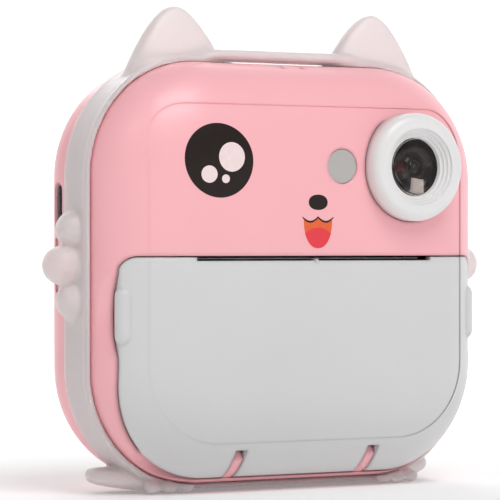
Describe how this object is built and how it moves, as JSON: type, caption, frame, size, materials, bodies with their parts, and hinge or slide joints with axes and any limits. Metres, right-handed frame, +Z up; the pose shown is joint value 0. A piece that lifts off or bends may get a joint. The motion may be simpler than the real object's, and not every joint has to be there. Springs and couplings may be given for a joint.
{
  "type": "kids instant print camera",
  "caption": "Pillow-shaped toy camera in a silicone sleeve with ears and feet, with a lens ring, a rear screen with buttons and a drop-down paper printer door.",
  "frame": {"origin": "on the table, below the middle of the object's box, as it stands on its silicone feet", "axes": "+X to the right of the front face, the lens looks along -Y, +Z up"},
  "size_m": [0.1122, 0.042, 0.1047],
  "materials": {
    "sleeve_silicone": "matte translucent silicone",
    "shell_pink": "satin moulded plastic",
    "door_white": "satin moulded plastic",
    "steel": "plated",
    "screen_glass": "clear",
    "screen_black": "gloss",
    "black_plastic": "matte",
    "board_green": "solder mask",
    "battery_foil": "foil",
    "ring_white": "satin",
    "window_black": "gloss, tinted",
    "mirror": "polished",
    "led_white": "gloss",
    "gear_white": "moulded",
    "brass": "machined",
    "platen_rubber": "ground rubber",
    "frame_plastic": "matte",
    "head_black": "glazed",
    "motor_steel": "plated",
    "paper": "smooth thermal paper",
    "core_board": "plain",
    "button_white": "satin"
  },
  "bodies": {
    "root": {"silicone_sleeve": "sleeve_silicone", "front_shell": "shell_pink", "rear_shell": "shell_pink", "door_hinge_pins": "steel", "case_screws": "steel", "main_board_screws": "steel", "button_board_screws": "steel", "screen_cover": "screen_glass", "lcd_module": "screen_black", "tact_switches": "black_plastic", "button_board": "board_green", "main_board": "board_green", "camera_board": "board_green", "usb_inlet": "steel", "card_socket": "steel", "battery": "battery_foil", "speaker": "black_plastic", "microphone": "black_plastic", "lens_ring": "ring_white", "lens_window": "window_black", "selfie_mirror": "mirror", "lens_barrel": "black_plastic", "camera_lens": "screen_glass", "flash_led": "led_white", "flash_light_pipe": "led_white", "idler_pin": "steel", "printer_frame": "frame_plastic", "thermal_print_head": "head_black", "head_spring": "steel", "stepper_motor": "motor_steel", "tear_bar": "steel", "paper_web": "paper"},
    "door": {"printer_door": "door_white", "platen_bushings": "gear_white"},
    "platen": {"platen_rubber": "platen_rubber", "platen_shaft": "steel", "platen_gear": "gear_white"},
    "idler": {"idler_gear": "gear_white"},
    "motor_rotor": {"motor_shaft": "steel", "motor_pinion": "brass"},
    "roll": {"paper_roll": "paper", "roll_core": "core_board"},
    "card": {"memory_card": "black_plastic"},
    "shutter_button_body": {"shutter_button": "button_white"},
    "print_button_body": {"print_button": "button_white"},
    "power_button_body": {"power_button": "button_white"},
    "ok_button_body": {"ok_button": "button_white"},
    "up_button_body": {"up_button": "button_white"},
    "down_button_body": {"down_button": "button_white"},
    "left_button_body": {"left_button": "button_white"},
    "right_button_body": {"right_button": "button_white"}
  },
  "joints": [
    {"name": "door_hinge", "type": "hinge", "parent": "root", "child": "door", "pos_m": [0, -0.0084, 0.0062], "axis": [1, 0, 0], "range_deg": [0, 85]},
    {"name": "platen_spin", "type": "hinge", "parent": "door", "child": "platen", "pos_m": [0, -0.0086, 0.0443], "axis": [1, 0, 0], "continuous": true},
    {"name": "idler_spin", "type": "hinge", "parent": "root", "child": "idler", "pos_m": [0.033, 0.0014, 0.0443], "axis": [1, 0, 0], "continuous": true},
    {"name": "motor_spin", "type": "hinge", "parent": "root", "child": "motor_rotor", "pos_m": [0.033, 0.00448, 0.05276], "axis": [1, 0, 0], "continuous": true},
    {"name": "roll_spin", "type": "hinge", "parent": "root", "child": "roll", "pos_m": [0, -0.0008, 0.0228], "axis": [1, 0, 0], "continuous": true},
    {"name": "card_slide", "type": "slide", "parent": "root", "child": "card", "axis": [-1, 0, 0], "range_m": [0, 0.008]},
    {"name": "shutter_press", "type": "slide", "parent": "root", "child": "shutter_button_body", "axis": [0, -1, 0], "range_m": [0, 0.0005], "stiffness_N_per_m": 1500},
    {"name": "print_press", "type": "slide", "parent": "root", "child": "print_button_body", "axis": [0, -1, 0], "range_m": [0, 0.0005], "stiffness_N_per_m": 1500},
    {"name": "power_press", "type": "slide", "parent": "root", "child": "power_button_body", "axis": [0, -1, 0], "range_m": [0, 0.0005], "stiffness_N_per_m": 1500},
    {"name": "ok_press", "type": "slide", "parent": "root", "child": "ok_button_body", "axis": [0, -1, 0], "range_m": [0, 0.0005], "stiffness_N_per_m": 1500},
    {"name": "up_press", "type": "slide", "parent": "root", "child": "up_button_body", "axis": [0, -1, 0], "range_m": [0, 0.0005], "stiffness_N_per_m": 1500},
    {"name": "down_press", "type": "slide", "parent": "root", "child": "down_button_body", "axis": [0, -1, 0], "range_m": [0, 0.0005], "stiffness_N_per_m": 1500},
    {"name": "left_press", "type": "slide", "parent": "root", "child": "left_button_body", "axis": [0, -1, 0], "range_m": [0, 0.0005], "stiffness_N_per_m": 1500},
    {"name": "right_press", "type": "slide", "parent": "root", "child": "right_button_body", "axis": [0, -1, 0], "range_m": [0, 0.0005], "stiffness_N_per_m": 1500}
  ],
  "couplings": [
    {"joint": "platen_spin", "follows": "roll_spin", "ratio": -3.5714},
    {"joint": "idler_spin", "follows": "roll_spin", "ratio": 2.381},
    {"joint": "motor_spin", "follows": "roll_spin", "ratio": -4.7619}
  ]
}
